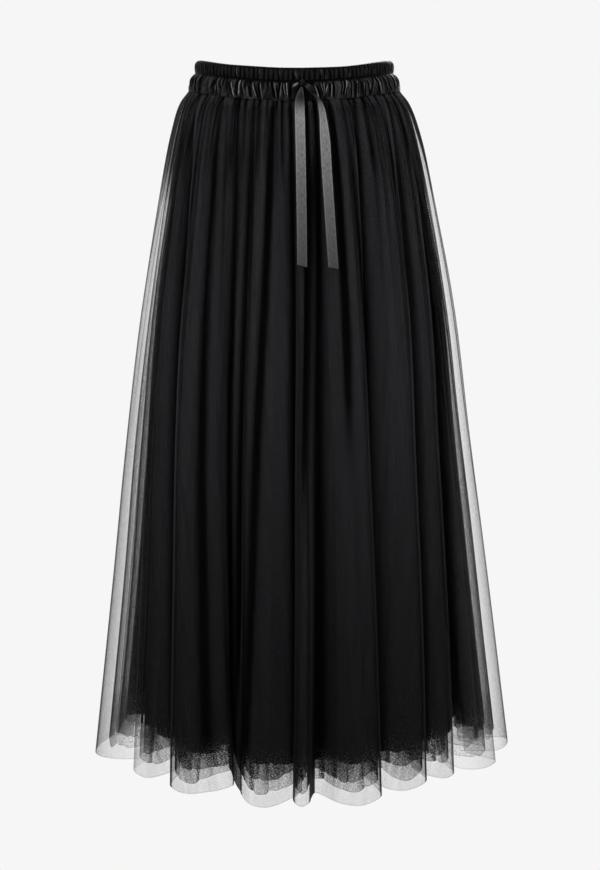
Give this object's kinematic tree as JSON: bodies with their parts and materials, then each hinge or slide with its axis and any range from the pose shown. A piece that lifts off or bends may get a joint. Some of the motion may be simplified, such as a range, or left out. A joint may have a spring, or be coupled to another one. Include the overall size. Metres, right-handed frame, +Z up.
{
  "type": "maxi skirt",
  "caption": "Long gathered skirt of three sheer net layers over an opaque lining, with a puckered elastic satin waistband and a tied ribbon; hollow, open at waist and hem.",
  "frame": {"origin": "middle of the waist, level with the stitched line between the waistband's two rows at the sides", "axes": "+Z up, towards the waistband's top edge; -Y is the front with the ribbon; +X is the wearer's left"},
  "size_m": [0.564, 0.4808, 0.9498],
  "materials": {
    "net": "fine sheer black net, matt",
    "lining": "opaque black lining cloth, soft sheen",
    "waistband": "glossy black satin, gathered",
    "ribbon": "satin ribbon, soft sheen"
  },
  "bodies": {
    "root": {"tulle_outer_front": "net", "tulle_outer_back": "net", "tulle_middle_front": "net", "tulle_middle_back": "net", "tulle_inner_front": "net", "tulle_inner_back": "net", "lining_front": "lining", "lining_back": "lining", "waistband_front": "waistband", "waistband_back": "waistband", "ribbon_knot": "ribbon", "ribbon_loop_left": "ribbon", "ribbon_loop_right": "ribbon", "ribbon_tail_left": "ribbon", "ribbon_tail_right": "ribbon"}
  },
  "joints": []
}
